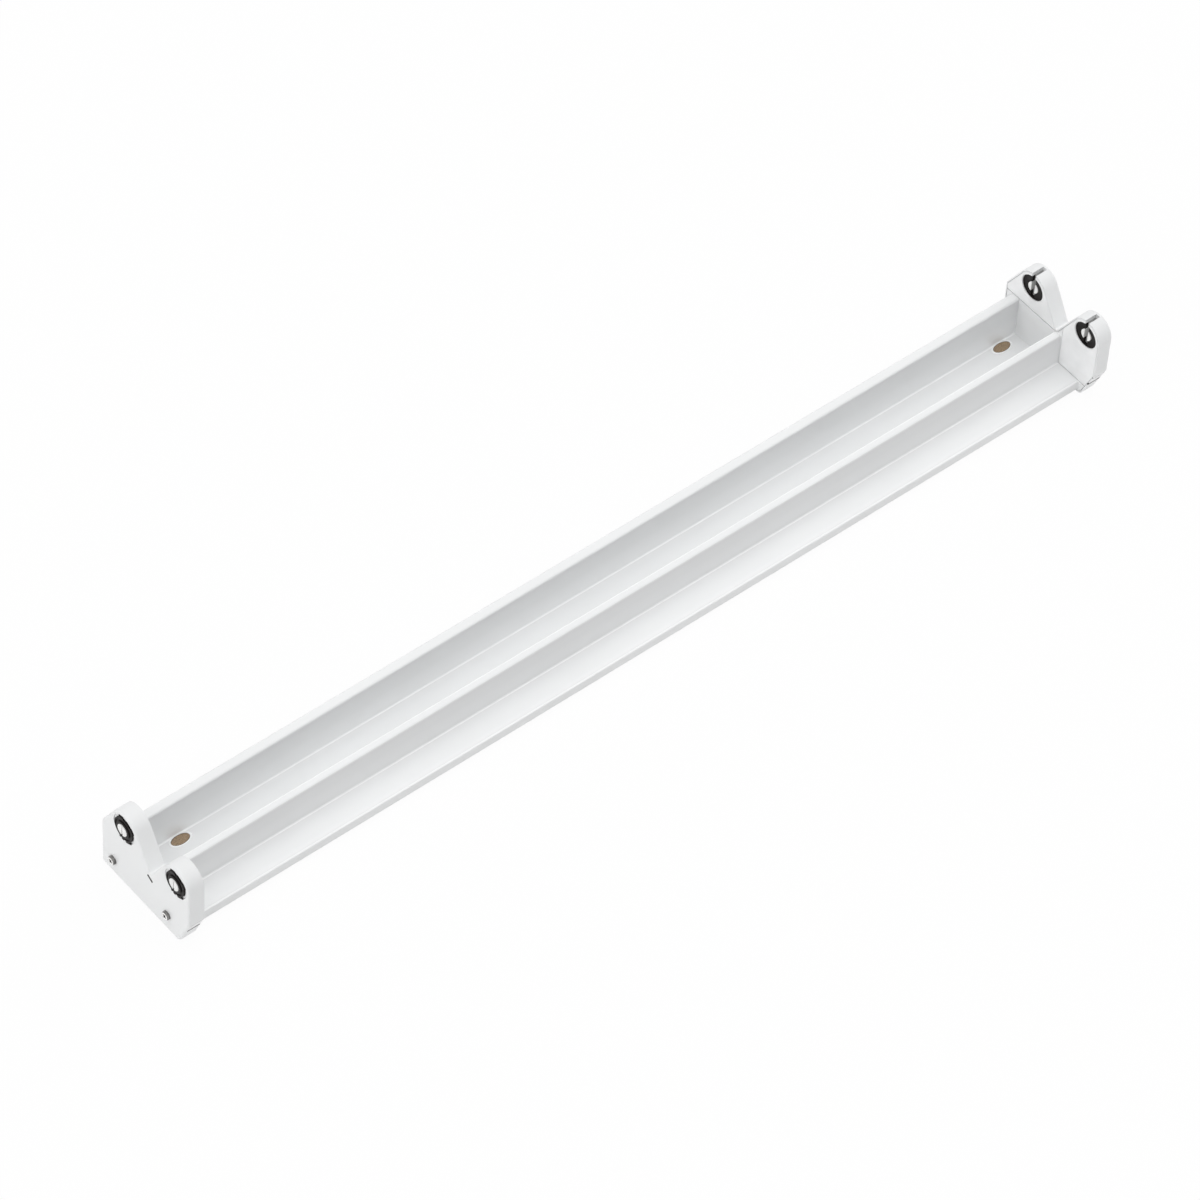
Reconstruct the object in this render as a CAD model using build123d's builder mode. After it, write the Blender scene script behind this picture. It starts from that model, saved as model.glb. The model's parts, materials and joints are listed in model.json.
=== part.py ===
"""Twin tube batten light, lying on its back with the lamp side up and no tubes fitted.

X runs along the tubes, Z points out of the lamp side, and the origin is under the
middle of the fixture on the plane of its mounting face. Near is -X, far is +X,
left is +Y and right is -Y. Millimetres.
"""
import os
from math import cos, radians, sin

from build123d import *

# Lamps: two-foot tubes of 26 mm with two-pin caps
LAMP_GAP = 590.8          # between the faces of the lampholders at the two ends
LAMP_SPACING = 42.2
LAMP_LEFT_Y = 16.95
LAMP_Z = 44.4
PIN_SLOT = 2.7

# End caps: pressed sheet with an inward rim
CAP_DEPTH = 9.6
CAP_SHEET = 0.8
CAP_BEND = 1.4            # outer radius between the plate and its rim
CAP_LEFT_Y = 35.85
HUMP_R = 10.6
HUMP_SLOPE = 60.0         # of the humps' straight flanks, degrees
TAPER_Z = 20.0            # where the right side starts to draw in
CAP_FOOT_Y = -27.8
SIDE_CORNER_R = 2.0
FOOT_CORNER_R = 3.0
VALLEY_R = 1.0
RIM_GAP = 1.3             # slot between the side rim and the bottom flange
RIM_GAP_Z = 11.5
RELIEF_LENGTH = 4.5       # slit in the plate under the valley
RELIEF_WIDTH = 1.0
RELIEF_TILT = 32.0
RELIEF_DROP = 2.6         # from the valley down to the slit's middle
OPENING_GAP = 1.3         # round the back ring in the plate
EAR_CLEAR = 0.05          # between the ring's ears and the plate

# Tray: one folded sheet
TRAY_SHEET = 0.7
TRAY_BASE = 0.9           # lowest face of the tray above the mounting plane
TRAY_BEND = 1.0           # radius at the middle of the sheet
FLANGE_Z = 28.6
FLANGE_EDGE_Y = 30.95
FLANGE_LIP = 6.0
WALL_Y = 25.05            # face of the left wall towards the trough
DUCT_FOOT_Y = 5.85        # foot of the ridge's left wall
RIDGE_LEFT_Y = -3.5
RIDGE_RIGHT_Y = -7.95
SHELF_Y = -8.8            # foot of the ridge's right wall
SHELF_Z = 8.3             # top of the right-hand floor
SIDE_Y = -25.35           # outer face of the right side
RETURN_LIP = 7.0

# Holes in the tray floor
ENTRY_LENGTH = 11.6
ENTRY_WIDTH = 6.2
ENTRY_Y = 21.5
ENTRY_NEAR_X = -267.0
ENTRY_FAR_X = 283.0
MOUNT_SPACING = 500.0
MOUNT_Y = 10.5
MOUNT_HOLE_R = 2.3

# Entry plugs: rubber
PLUG_LIP = 1.5
PLUG_LIP_THICK = 0.6
PLUG_RECESS = 0.2
PLUG_CLEAR = 0.05

# Brackets behind the caps
BRACKET_SHEET = 0.8
BRACKET_CLEAR = 0.3       # under the flange line and inside the rim
TAB_WIDTH = 8.0
TAB_RISE = 4.0            # of a tab above its screw
WIRE_WINDOW_R = 1.6

# Cap screws: pan head with a cross recess
SCREW_R = 1.6
SCREW_HEAD_R = 2.6
SCREW_HEAD_HEIGHT = 1.8
SCREW_LENGTH = 4.6
SCREW_CLEAR = 0.05
CROSS_LENGTH = 2.8
CROSS_WIDTH = 0.7
CROSS_DEPTH = 0.9
LEFT_SCREW_YZ = (26.25, 10.2)
RIGHT_SCREW_YZ = (-18.25, 11.8)

# Lampholders
HOLDER_CLEAR = 0.2        # inside the cap's rim
HOLDER_DROP = 14.0        # from the lamp axis to the underside of the deep part
SKIRT = 1.2               # front wall that reaches down to the tray
SKIRT_GAP = 0.3           # above the tray
ENTRY_SLIT = 2.8
BORE_R = 8.05
RUNNING_CLEAR = 0.05
ROTOR_RECESS = 0.4
END_FLOAT = 0.1
ROTOR_WEB = 0.6           # joins the rotor's halves behind the pin slot
PIN_REACH = 7.65          # from the lamp axis to the closed end of the rotor's slot
CORE_R = 3.6
CORE_RECESS = 0.2
CORE_PROUD = 1.4          # of the core's back end past the cap
CORE_SLIT = 1.0
CORE_SLIT_DEPTH = 0.8
COVER_R = 9.0             # back cover, behind the cap's plate
COVER_SHEET = 0.4
COVER_CLEAR = 0.1         # between the cover and the plate
RING_R = 7.3              # back ring, in the cap's round opening
RING_EAR_R = 9.0          # ears and teeth, which lie on the cap's plate
RING_EAR_WIDTH = 4.0
RING_EAR_ANGLES = (75, 145, 240)
RING_TOOTH_WIDTH = 1.4
RING_TOOTH_ANGLES = (274, 290)
RING_PROUD = 0.6          # of the ring past the cap
RING_HUB_R = 5.2
RING_HUB_PROUD = 1.0

# Contacts: one bridged strip in each lampholder
CONTACT_SHEET = 0.5
CONTACT_REACH = 8.3       # from the lamp axis to each blade
CONTACT_TOP = 3.0
CONTACT_DROP = 11.2       # from the lamp axis to the underside of the bridge
CONTACT_BACK = 0.5        # before the lampholder's back
CONTACT_FRONT = 2.0       # behind the lampholder's face
CONTACT_CLEAR = 0.1

# Wiring in the duct under the right-hand floor
WIRE_R = 0.9
WIRE_CLEAR = 0.05
WIRE_Z = 4.2
WIRE_PITCH = 2.5
WIRE_BEND = 3.0
WIRE_FROM_AXIS = 8.0      # where a wire enters a lampholder, beside the lamp axis
WIRE_FROM_BACK = 4.7      # before the lampholder's back
WIRE_INTO_BLOCK = 6.0
BLOCK_LENGTH = 24.0
BLOCK_WIDTH = 12.0
BLOCK_HEIGHT = 5.6
BLOCK_SCREW_R = 1.0
BLOCK_SCREW_DEPTH = 1.2
BLOCK_SCREW_INSET = 4.0
SUPPLY_HOLE_R = 1.2       # for the supply's conductors, from the mounting side
SUPPLY_HOLE_X = 3.6
SUPPLY_HOLE_DEPTH = 4.4
CLIP_LENGTH = 6.0
CLIP_WALL = 1.3
CLIP_X = 145.0
EARTH_Y = -11.3           # of the earth wire
EARTH_SCREW_Y = -6.0
LUG_SHEET = 0.6
LUG_WIDTH = 4.6
EARTH_SCREW_R = 1.25
EARTH_HEAD_R = 2.2
EARTH_HEAD_HEIGHT = 1.4
EARTH_SCREW_LENGTH = 2.6
LUG_BARREL_R = 1.6
LUG_BARREL_LENGTH = 5.0

FACE_X = LAMP_GAP / 2
END_X = FACE_X + CAP_DEPTH
PLATE_X = END_X - CAP_SHEET
HOLDER_DEPTH = CAP_DEPTH - CAP_SHEET - COVER_CLEAR - COVER_SHEET
PIN_DEPTH = HOLDER_DEPTH - END_FLOAT - ROTOR_WEB   # room for the lamp pins behind the face
CONTACT_WIDTH = HOLDER_DEPTH - CONTACT_FRONT - CONTACT_BACK
HOLDER_BACK_X = FACE_X + HOLDER_DEPTH
COVER_X = HOLDER_BACK_X + COVER_SHEET
ROTOR_R = BORE_R - RUNNING_CLEAR
LAMP_RIGHT_Y = LAMP_LEFT_Y - LAMP_SPACING
CAP_RIGHT_Y = LAMP_RIGHT_Y - HUMP_R
LAMP_Y = {"left": LAMP_LEFT_Y, "right": LAMP_RIGHT_Y}
FLOOR_Z = TRAY_BASE + TRAY_SHEET
SHELF_UNDER_Z = SHELF_Z - TRAY_SHEET
RIGHT_WIRE_Y = LAMP_RIGHT_Y + WIRE_FROM_AXIS
LEFT_WIRE_Y = RIGHT_WIRE_Y + WIRE_PITCH
WIRE_X = HOLDER_BACK_X - WIRE_FROM_BACK
SKIRT_Z = {"left": FLANGE_Z + SKIRT_GAP, "right": SHELF_Z + SKIRT_GAP}
BLOCK_END_X = BLOCK_LENGTH / 2
WIRES_Y = (RIGHT_WIRE_Y + LEFT_WIRE_Y) / 2
CONTACT_UNDER_Z = LAMP_Z - CONTACT_DROP
OPENING_R = RING_R + OPENING_GAP
BIG = 4 * CAP_LEFT_Y      # larger than any section


def save(part, name):
    """Label a finished piece and write it."""
    part.label = name
    export_step(part, f"parts/{name}.step")


def save_both_ends(part, near_name, far_name):
    """Write a far-end piece and its mirror image at the near end."""
    with BuildPart() as near:
        mirror(part, about=Plane.YZ)
    save(near.part, near_name)
    save(part, far_name)


def on_hump(lamp_y, angle):
    """A point of a hump's round top, by its angle from +Y."""
    return (lamp_y + HUMP_R * cos(radians(angle)), LAMP_Z + HUMP_R * sin(radians(angle)))


def cap_outline():
    """The cap's M-shaped outline, as (Y, Z)."""
    flank = 90 - HUMP_SLOPE
    left_start, left_end = on_hump(LAMP_LEFT_Y, flank), on_hump(LAMP_LEFT_Y, 180 - flank)
    right_start, right_end = on_hump(LAMP_RIGHT_Y, flank), on_hump(LAMP_RIGHT_Y, 180)
    fall = sin(radians(HUMP_SLOPE)) / cos(radians(HUMP_SLOPE))
    shoulder = (CAP_LEFT_Y, left_start[1] - (CAP_LEFT_Y - left_start[0]) * fall)
    low = valley()
    with BuildSketch() as outline:
        with BuildLine():
            Polyline((CAP_FOOT_Y, 0), (CAP_LEFT_Y, 0), shoulder, left_start)
            ThreePointArc(left_start, on_hump(LAMP_LEFT_Y, 90), left_end)
            Polyline(left_end, low, right_start)
            ThreePointArc(right_start, on_hump(LAMP_RIGHT_Y, 90), right_end)
            Polyline(right_end, (CAP_RIGHT_Y, TAPER_Z), (CAP_FOOT_Y, 0))
        make_face()
        for corner, radius in (
            ((CAP_LEFT_Y, 0), SIDE_CORNER_R),
            (shoulder, SIDE_CORNER_R),
            (low, VALLEY_R),
            ((CAP_RIGHT_Y, TAPER_Z), SIDE_CORNER_R),
            ((CAP_FOOT_Y, 0), FOOT_CORNER_R),
        ):
            fillet(outline.vertices().sort_by_distance((corner[0], corner[1], 0))[0], radius)
    return outline.sketch


def valley():
    """Where the flanks of the two humps meet, as (Y, Z)."""
    flank = 90 - HUMP_SLOPE
    left_end = on_hump(LAMP_LEFT_Y, 180 - flank)
    right_start = on_hump(LAMP_RIGHT_Y, flank)
    half = (left_end[0] - right_start[0]) / 2
    return (right_start[0] + half, left_end[1] - half * sin(radians(HUMP_SLOPE)) / cos(radians(HUMP_SLOPE)))


def inside_cap(gap):
    """The cap's outline drawn in by its sheet and a gap."""
    with BuildSketch() as inset:
        offset(cap_outline(), amount=-CAP_SHEET - gap, kind=Kind.INTERSECTION)
    return inset.sketch


def at_x(x):
    """The plane across the fixture at x, with (Y, Z) as its own axes."""
    return Plane.YZ.offset(x)


def make_tray():
    """The folded tray, with its entry and mounting holes."""
    half = TRAY_SHEET / 2
    flange_y, flange_z = FLANGE_EDGE_Y - half, FLANGE_Z - half
    floor_z = TRAY_BASE + half
    folds = [
        (flange_y, FLANGE_Z - FLANGE_LIP),
        (flange_y, flange_z),
        (WALL_Y + half, flange_z),
        (WALL_Y + half, floor_z),
        (DUCT_FOOT_Y, floor_z),
        (RIDGE_LEFT_Y - half, flange_z),
        (RIDGE_RIGHT_Y + half, flange_z),
        (SHELF_Y + half, SHELF_Z - half),
        (SIDE_Y + half, SHELF_Z - half),
        (SIDE_Y + half, floor_z),
        (SIDE_Y + RETURN_LIP, floor_z),
    ]
    with BuildPart() as tray:
        with BuildSketch(Plane.YZ):
            with BuildLine() as section:
                FilletPolyline(*folds, radius=TRAY_BEND)
            trace(section.line, line_width=TRAY_SHEET)
        extrude(amount=FACE_X, both=True)
        with BuildSketch(Plane.XY):
            with Locations((ENTRY_NEAR_X, ENTRY_Y), (ENTRY_FAR_X, ENTRY_Y)):
                Ellipse(ENTRY_LENGTH / 2, ENTRY_WIDTH / 2)
            with Locations((-MOUNT_SPACING / 2, MOUNT_Y), (MOUNT_SPACING / 2, MOUNT_Y)):
                Circle(MOUNT_HOLE_R)
        extrude(amount=FLOOR_Z + TRAY_SHEET, mode=Mode.SUBTRACT)
    save(tray.part, "tray")


def make_entry_plugs():
    """Rubber plugs that close the entry holes, with a lip under the floor."""
    for name, x in (("near_entry_plug", ENTRY_NEAR_X), ("far_entry_plug", ENTRY_FAR_X)):
        with BuildPart() as plug:
            with BuildSketch(Plane.XY.offset(TRAY_BASE - PLUG_LIP_THICK)):
                with Locations((x, ENTRY_Y)):
                    Ellipse(ENTRY_LENGTH / 2 + PLUG_LIP, ENTRY_WIDTH / 2 + PLUG_LIP)
            extrude(amount=PLUG_LIP_THICK)
            with BuildSketch(Plane.XY.offset(TRAY_BASE)):
                with Locations((x, ENTRY_Y)):
                    Ellipse(ENTRY_LENGTH / 2 - PLUG_CLEAR, ENTRY_WIDTH / 2 - PLUG_CLEAR)
            extrude(amount=TRAY_SHEET - PLUG_RECESS)
        save(plug.part, name)


def make_end_caps():
    """The pressed caps, open towards the lamps.

    The far rim is notched, so that a lamp whose near pins are in can drop in at the far end.
    """
    low = valley()
    with BuildPart() as cap:
        with BuildSketch(at_x(FACE_X)):
            add(cap_outline())
        extrude(amount=CAP_DEPTH)
        fillet(cap.faces().sort_by(Axis.X)[-1].outer_wire().edges(), CAP_BEND)
        with BuildSketch(at_x(FACE_X)):
            add(inside_cap(0))
        extrude(amount=CAP_DEPTH - CAP_SHEET, mode=Mode.SUBTRACT)
        with BuildSketch(at_x(FACE_X)):
            for lamp_y in LAMP_Y.values():
                with Locations((lamp_y, LAMP_Z)):
                    Circle(OPENING_R)
            with Locations(LEFT_SCREW_YZ, RIGHT_SCREW_YZ):
                Circle(SCREW_R + 2 * SCREW_CLEAR)
            with Locations(Location((low[0], low[1] - RELIEF_DROP), RELIEF_TILT)):
                Rectangle(RELIEF_LENGTH, RELIEF_WIDTH)
        extrude(amount=CAP_DEPTH, mode=Mode.SUBTRACT)
        with BuildSketch(at_x(FACE_X)):
            with Locations((CAP_FOOT_Y, RIM_GAP_Z)):
                Rectangle(BIG, RIM_GAP, align=(Align.MAX, Align.MIN))
        extrude(amount=CAP_DEPTH - CAP_BEND, mode=Mode.SUBTRACT)
    with BuildPart() as near:
        mirror(cap.part, about=Plane.YZ)
    save(near.part, "near_end_cap")
    with BuildPart() as far:
        add(cap.part)
        with BuildSketch(at_x(FACE_X)):
            for lamp_y in LAMP_Y.values():
                with Locations((lamp_y, LAMP_Z)):
                    Rectangle(ENTRY_SLIT, 2 * HUMP_R, align=(Align.CENTER, Align.MIN))
        extrude(amount=PIN_DEPTH, mode=Mode.SUBTRACT)
    save(far.part, "far_end_cap")


def make_end_brackets():
    """Plates that close the caps' inner side under the lampholders, with tabs for the cap screws."""
    plate_top = FLANGE_Z - BRACKET_CLEAR
    shelf_top = SHELF_Z - BRACKET_CLEAR
    tongue_y = valley()[0] - BRACKET_CLEAR
    tab_x = PLATE_X - FACE_X
    with BuildPart() as bracket:
        with BuildSketch(at_x(FACE_X)):
            with BuildLine():
                Polyline(
                    (CAP_LEFT_Y, TRAY_BASE),
                    (CAP_LEFT_Y, plate_top),
                    (tongue_y, plate_top),
                    (tongue_y, LAMP_Z),
                    (SHELF_Y, LAMP_Z),
                    (SHELF_Y, shelf_top),
                    (CAP_RIGHT_Y, shelf_top),
                    (CAP_RIGHT_Y, TRAY_BASE),
                    close=True,
                )
            make_face()
            add(inside_cap(BRACKET_CLEAR), mode=Mode.INTERSECT)
            with Locations((WIRES_Y, WIRE_Z)):
                SlotCenterToCenter(WIRE_PITCH, 2 * WIRE_WINDOW_R, mode=Mode.SUBTRACT)
            with Locations((EARTH_SCREW_Y, WIRE_Z)):
                Circle(EARTH_SCREW_R + SCREW_CLEAR, mode=Mode.SUBTRACT)
        extrude(amount=BRACKET_SHEET)
        for (y, z), outward, foot_z in (
            (LEFT_SCREW_YZ, 1, LEFT_SCREW_YZ[1] - TAB_RISE),
            (RIGHT_SCREW_YZ, -1, TRAY_BASE + TRAY_SHEET),
        ):
            edge_y = y + outward * TAB_WIDTH / 2
            leg_top = min(z + TAB_RISE, SHELF_UNDER_Z) if outward < 0 else z + TAB_RISE
            with BuildSketch(at_x(FACE_X)):
                with Locations((edge_y - outward * BRACKET_SHEET / 2, (foot_z + leg_top) / 2)):
                    Rectangle(BRACKET_SHEET, leg_top - foot_z)
            extrude(amount=tab_x)
            with BuildSketch(at_x(PLATE_X - BRACKET_SHEET)):
                with Locations((y, (foot_z + z + TAB_RISE) / 2)):
                    Rectangle(TAB_WIDTH, z + TAB_RISE - foot_z)
                with Locations((y, z)):
                    Circle(SCREW_R + SCREW_CLEAR, mode=Mode.SUBTRACT)
            extrude(amount=BRACKET_SHEET)
    save_both_ends(bracket.part, "near_end_bracket", "far_end_bracket")


def make_cap_screws():
    """The two screws that hold each cap."""
    with BuildPart() as screws:
        with BuildSketch(at_x(END_X - SCREW_LENGTH)):
            with Locations(LEFT_SCREW_YZ, RIGHT_SCREW_YZ):
                Circle(SCREW_R)
        extrude(amount=SCREW_LENGTH)
        with BuildSketch(at_x(END_X)):
            with Locations(LEFT_SCREW_YZ, RIGHT_SCREW_YZ):
                Circle(SCREW_HEAD_R)
        extrude(amount=SCREW_HEAD_HEIGHT)
        fillet(screws.edges().filter_by(GeomType.CIRCLE).group_by(Axis.X)[-1], SCREW_HEAD_HEIGHT / 2)
        with BuildSketch(at_x(END_X + SCREW_HEAD_HEIGHT)):
            with Locations(LEFT_SCREW_YZ, RIGHT_SCREW_YZ):
                Rectangle(CROSS_LENGTH, CROSS_WIDTH)
                Rectangle(CROSS_WIDTH, CROSS_LENGTH)
        extrude(amount=-CROSS_DEPTH, mode=Mode.SUBTRACT)
    save_both_ends(screws.part, "near_cap_screws", "far_cap_screws")


def contact_section(gap):
    """The bridged contact seen along the lamp axis, grown by a gap."""
    width = 2 * (CONTACT_REACH + CONTACT_SHEET + gap)
    with BuildSketch() as section:
        with Locations((0, -CONTACT_DROP - gap)):
            Rectangle(width, CONTACT_SHEET + 2 * gap, align=(Align.CENTER, Align.MIN))
        for side in (-1, 1):
            with Locations((side * (CONTACT_REACH + CONTACT_SHEET / 2), -CONTACT_DROP - gap)):
                Rectangle(
                    CONTACT_SHEET + 2 * gap,
                    CONTACT_DROP + CONTACT_TOP + 2 * gap,
                    align=(Align.CENTER, Align.MIN),
                )
    return section.sketch


def make_holder(side):
    """A lampholder body: deep round top, thin skirt down to the tray, bore and entry slit."""
    lamp_y = LAMP_Y[side]
    wire_y = lamp_y - WIRE_FROM_AXIS if side == "left" else RIGHT_WIRE_Y
    inner_y = valley()[0] if side == "left" else SHELF_Y - SKIRT_GAP
    align = Align.MIN if side == "left" else Align.MAX
    with BuildPart() as holder:
        for bottom, depth in ((LAMP_Z - HOLDER_DROP, HOLDER_DEPTH), (SKIRT_Z[side], SKIRT)):
            with BuildSketch(at_x(FACE_X)):
                add(inside_cap(HOLDER_CLEAR))
                with Locations((inner_y, bottom)):
                    Rectangle(BIG, BIG, align=(align, Align.MIN), mode=Mode.INTERSECT)
            extrude(amount=depth)
        with BuildSketch(at_x(FACE_X)):
            with Locations((lamp_y, LAMP_Z)):
                Circle(BORE_R)
        extrude(amount=HOLDER_DEPTH, mode=Mode.SUBTRACT)
        with BuildSketch(at_x(FACE_X)):
            with Locations((lamp_y, LAMP_Z)):
                Rectangle(ENTRY_SLIT, 2 * HUMP_R, align=(Align.CENTER, Align.MIN))
        extrude(amount=PIN_DEPTH, mode=Mode.SUBTRACT)
        with BuildSketch(at_x(FACE_X + CONTACT_FRONT - CONTACT_CLEAR)):
            with Locations((lamp_y, LAMP_Z)):
                add(contact_section(CONTACT_CLEAR))
        extrude(amount=HOLDER_DEPTH, mode=Mode.SUBTRACT)
        with BuildSketch(Plane.XY.offset(LAMP_Z - HOLDER_DROP)):
            with Locations((WIRE_X, wire_y)):
                Circle(WIRE_R + WIRE_CLEAR)
        extrude(amount=HOLDER_DROP - CONTACT_DROP, mode=Mode.SUBTRACT)
    save_both_ends(holder.part, f"near_{side}_holder", f"far_{side}_holder")


def make_contact(side):
    """The bridged contact strip in a lampholder."""
    with BuildPart() as contact:
        with BuildSketch(at_x(FACE_X + CONTACT_FRONT)):
            with Locations((LAMP_Y[side], LAMP_Z)):
                add(contact_section(0))
        extrude(amount=CONTACT_WIDTH)
    save_both_ends(contact.part, f"near_{side}_contact", f"far_{side}_contact")


def make_rotor(side):
    """The rotor: a ring with a pin slot, open at the top, that turns the lamp pins a quarter turn."""
    with BuildPart() as rotor:
        with BuildSketch(at_x(FACE_X + ROTOR_RECESS)):
            with Locations((LAMP_Y[side], LAMP_Z)):
                Circle(ROTOR_R)
                Circle(CORE_R + RUNNING_CLEAR, mode=Mode.SUBTRACT)
            with Locations((LAMP_Y[side], LAMP_Z - PIN_REACH)):
                Rectangle(PIN_SLOT, PIN_REACH + BORE_R, align=(Align.CENTER, Align.MIN), mode=Mode.SUBTRACT)
        extrude(amount=PIN_DEPTH - ROTOR_RECESS)
        with BuildSketch(at_x(FACE_X + PIN_DEPTH)):
            with Locations((LAMP_Y[side], LAMP_Z)):
                Circle(ROTOR_R)
                Circle(CORE_R + RUNNING_CLEAR, mode=Mode.SUBTRACT)
        extrude(amount=ROTOR_WEB)
    save_both_ends(rotor.part, f"near_{side}_rotor", f"far_{side}_rotor")


def make_core(side):
    """The rotor's core: split by the pin slot in front, with a slit in its back end."""
    with BuildPart() as core:
        with BuildSketch(at_x(FACE_X + CORE_RECESS)):
            with Locations((LAMP_Y[side], LAMP_Z)):
                Circle(CORE_R)
        extrude(amount=CAP_DEPTH + CORE_PROUD - CORE_RECESS)
        with BuildSketch(at_x(FACE_X)):
            with Locations((LAMP_Y[side], LAMP_Z)):
                Rectangle(PIN_SLOT, 2 * BORE_R)
        extrude(amount=PIN_DEPTH, mode=Mode.SUBTRACT)
        with BuildSketch(at_x(END_X + CORE_PROUD)):
            with Locations((LAMP_Y[side], LAMP_Z)):
                Rectangle(CORE_SLIT, 2 * BORE_R)
        extrude(amount=-CORE_SLIT_DEPTH, mode=Mode.SUBTRACT)
    save_both_ends(core.part, f"near_{side}_rotor_core", f"far_{side}_rotor_core")


def make_back(side):
    """The white cover behind a lampholder, and the black ring in the cap's round opening."""
    with BuildPart() as cover:
        with BuildSketch(at_x(HOLDER_BACK_X)):
            with Locations((LAMP_Y[side], LAMP_Z)):
                Circle(COVER_R)
                Circle(CORE_R + RUNNING_CLEAR, mode=Mode.SUBTRACT)
        extrude(amount=COVER_SHEET)
    save_both_ends(cover.part, f"near_{side}_back_cover", f"far_{side}_back_cover")
    layers = (
        (ring_disc(RING_R), COVER_X, RING_PROUD),
        (eared_disc(), END_X + EAR_CLEAR, RING_PROUD),
        (ring_disc(RING_HUB_R), COVER_X, RING_HUB_PROUD),
    )
    with BuildPart() as ring:
        for outline, start_x, proud in layers:
            with BuildSketch(at_x(start_x)):
                with Locations((LAMP_Y[side], LAMP_Z)):
                    add(outline)
                    Circle(CORE_R + RUNNING_CLEAR, mode=Mode.SUBTRACT)
            extrude(amount=END_X + proud - start_x)
    save_both_ends(ring.part, f"near_{side}_back_ring", f"far_{side}_back_ring")


def eared_disc():
    """The back ring's front: a disc with three ears and two small teeth."""
    ears = [(angle, RING_EAR_WIDTH) for angle in RING_EAR_ANGLES]
    teeth = [(angle, RING_TOOTH_WIDTH) for angle in RING_TOOTH_ANGLES]
    with BuildSketch() as front:
        for angle, width in ears + teeth:
            with Locations(Location((0, 0), angle)):
                Rectangle(2 * RING_EAR_R, width, align=(Align.MIN, Align.CENTER))
        Circle(RING_EAR_R, mode=Mode.INTERSECT)
        Circle(RING_R)
    return front.sketch


def ring_disc(radius):
    """A plain round of the back ring."""
    with BuildSketch() as disc:
        Circle(radius)
    return disc.sketch


def make_wire(name, end, route):
    """A wire from the terminal block to one end of the fixture, bent with round corners."""
    points = [(end * x, y, z) for x, y, z in route]
    with BuildPart() as wire:
        with BuildLine() as path:
            if len(points) > 2:
                FilletPolyline(*points, radius=WIRE_BEND)
            else:
                Line(*points)
        with BuildSketch(Plane(points[0], z_dir=(end, 0, 0))):
            Circle(WIRE_R)
        sweep(path=path.line)
    save(wire.part, name)


def make_wiring():
    """Two wires to each end, and the earth wire."""
    start_x = BLOCK_END_X - WIRE_INTO_BLOCK
    right = [
        (start_x, RIGHT_WIRE_Y, WIRE_Z),
        (WIRE_X, RIGHT_WIRE_Y, WIRE_Z),
        (WIRE_X, RIGHT_WIRE_Y, CONTACT_UNDER_Z),
    ]
    rise_y = LAMP_LEFT_Y - WIRE_FROM_AXIS
    left = [
        (start_x, LEFT_WIRE_Y, WIRE_Z),
        (WIRE_X, LEFT_WIRE_Y, WIRE_Z),
        (WIRE_X, rise_y, WIRE_Z),
        (WIRE_X, rise_y, CONTACT_UNDER_Z),
    ]
    for end, kind in ((-1, "live"), (1, "neutral")):
        make_wire(f"{kind}_wire_right", end, right)
        make_wire(f"{kind}_wire_left", end, left)
    lug_x = FACE_X - LUG_SHEET
    make_wire("earth_wire", -1, [(start_x, EARTH_Y, WIRE_Z), (lug_x, EARTH_Y, WIRE_Z)])


def make_terminal_block():
    """The supply terminal block under the right-hand floor, and its clamp screws.

    Its near half takes the live wires, its far half the neutral ones.
    """
    top = SHELF_UNDER_Z
    bottom = top - BLOCK_HEIGHT
    left_y = EARTH_Y + CLIP_WALL + WIRE_R
    wire_ys = (LEFT_WIRE_Y, RIGHT_WIRE_Y, EARTH_Y)
    spots = [(end * (BLOCK_END_X - BLOCK_SCREW_INSET), y) for end in (-1, 1) for y in wire_ys]
    with BuildPart() as block:
        with BuildSketch(Plane.XY.offset(bottom)):
            with Locations((0, left_y)):
                Rectangle(BLOCK_LENGTH, BLOCK_WIDTH, align=(Align.CENTER, Align.MAX))
        extrude(amount=BLOCK_HEIGHT)
        for end in (-1, 1):
            with BuildSketch(at_x(end * (BLOCK_END_X - WIRE_INTO_BLOCK))):
                with Locations(*[(y, WIRE_Z) for y in wire_ys]):
                    Circle(WIRE_R + WIRE_CLEAR)
            extrude(amount=end * BLOCK_LENGTH, mode=Mode.SUBTRACT)
        with BuildSketch(Plane.XY.offset(bottom)):
            with Locations(*spots):
                Circle(BLOCK_SCREW_R + SCREW_CLEAR)
        extrude(amount=BLOCK_SCREW_DEPTH, mode=Mode.SUBTRACT)
        with BuildSketch(Plane.XY.offset(bottom)):
            with Locations((-SUPPLY_HOLE_X, WIRES_Y), (SUPPLY_HOLE_X, WIRES_Y)):
                Circle(SUPPLY_HOLE_R)
        extrude(amount=SUPPLY_HOLE_DEPTH, mode=Mode.SUBTRACT)
    save(block.part, "terminal_block")
    with BuildPart() as screws:
        with BuildSketch(Plane.XY.offset(bottom)):
            with Locations(*spots):
                Circle(BLOCK_SCREW_R)
                Rectangle(2 * BLOCK_SCREW_R, CROSS_WIDTH, mode=Mode.SUBTRACT)
        extrude(amount=BLOCK_SCREW_DEPTH / 2)
        with BuildSketch(Plane.XY.offset(bottom + BLOCK_SCREW_DEPTH / 2)):
            with Locations(*spots):
                Circle(BLOCK_SCREW_R)
        extrude(amount=BLOCK_SCREW_DEPTH / 2)
    save(screws.part, "terminal_screws")


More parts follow.
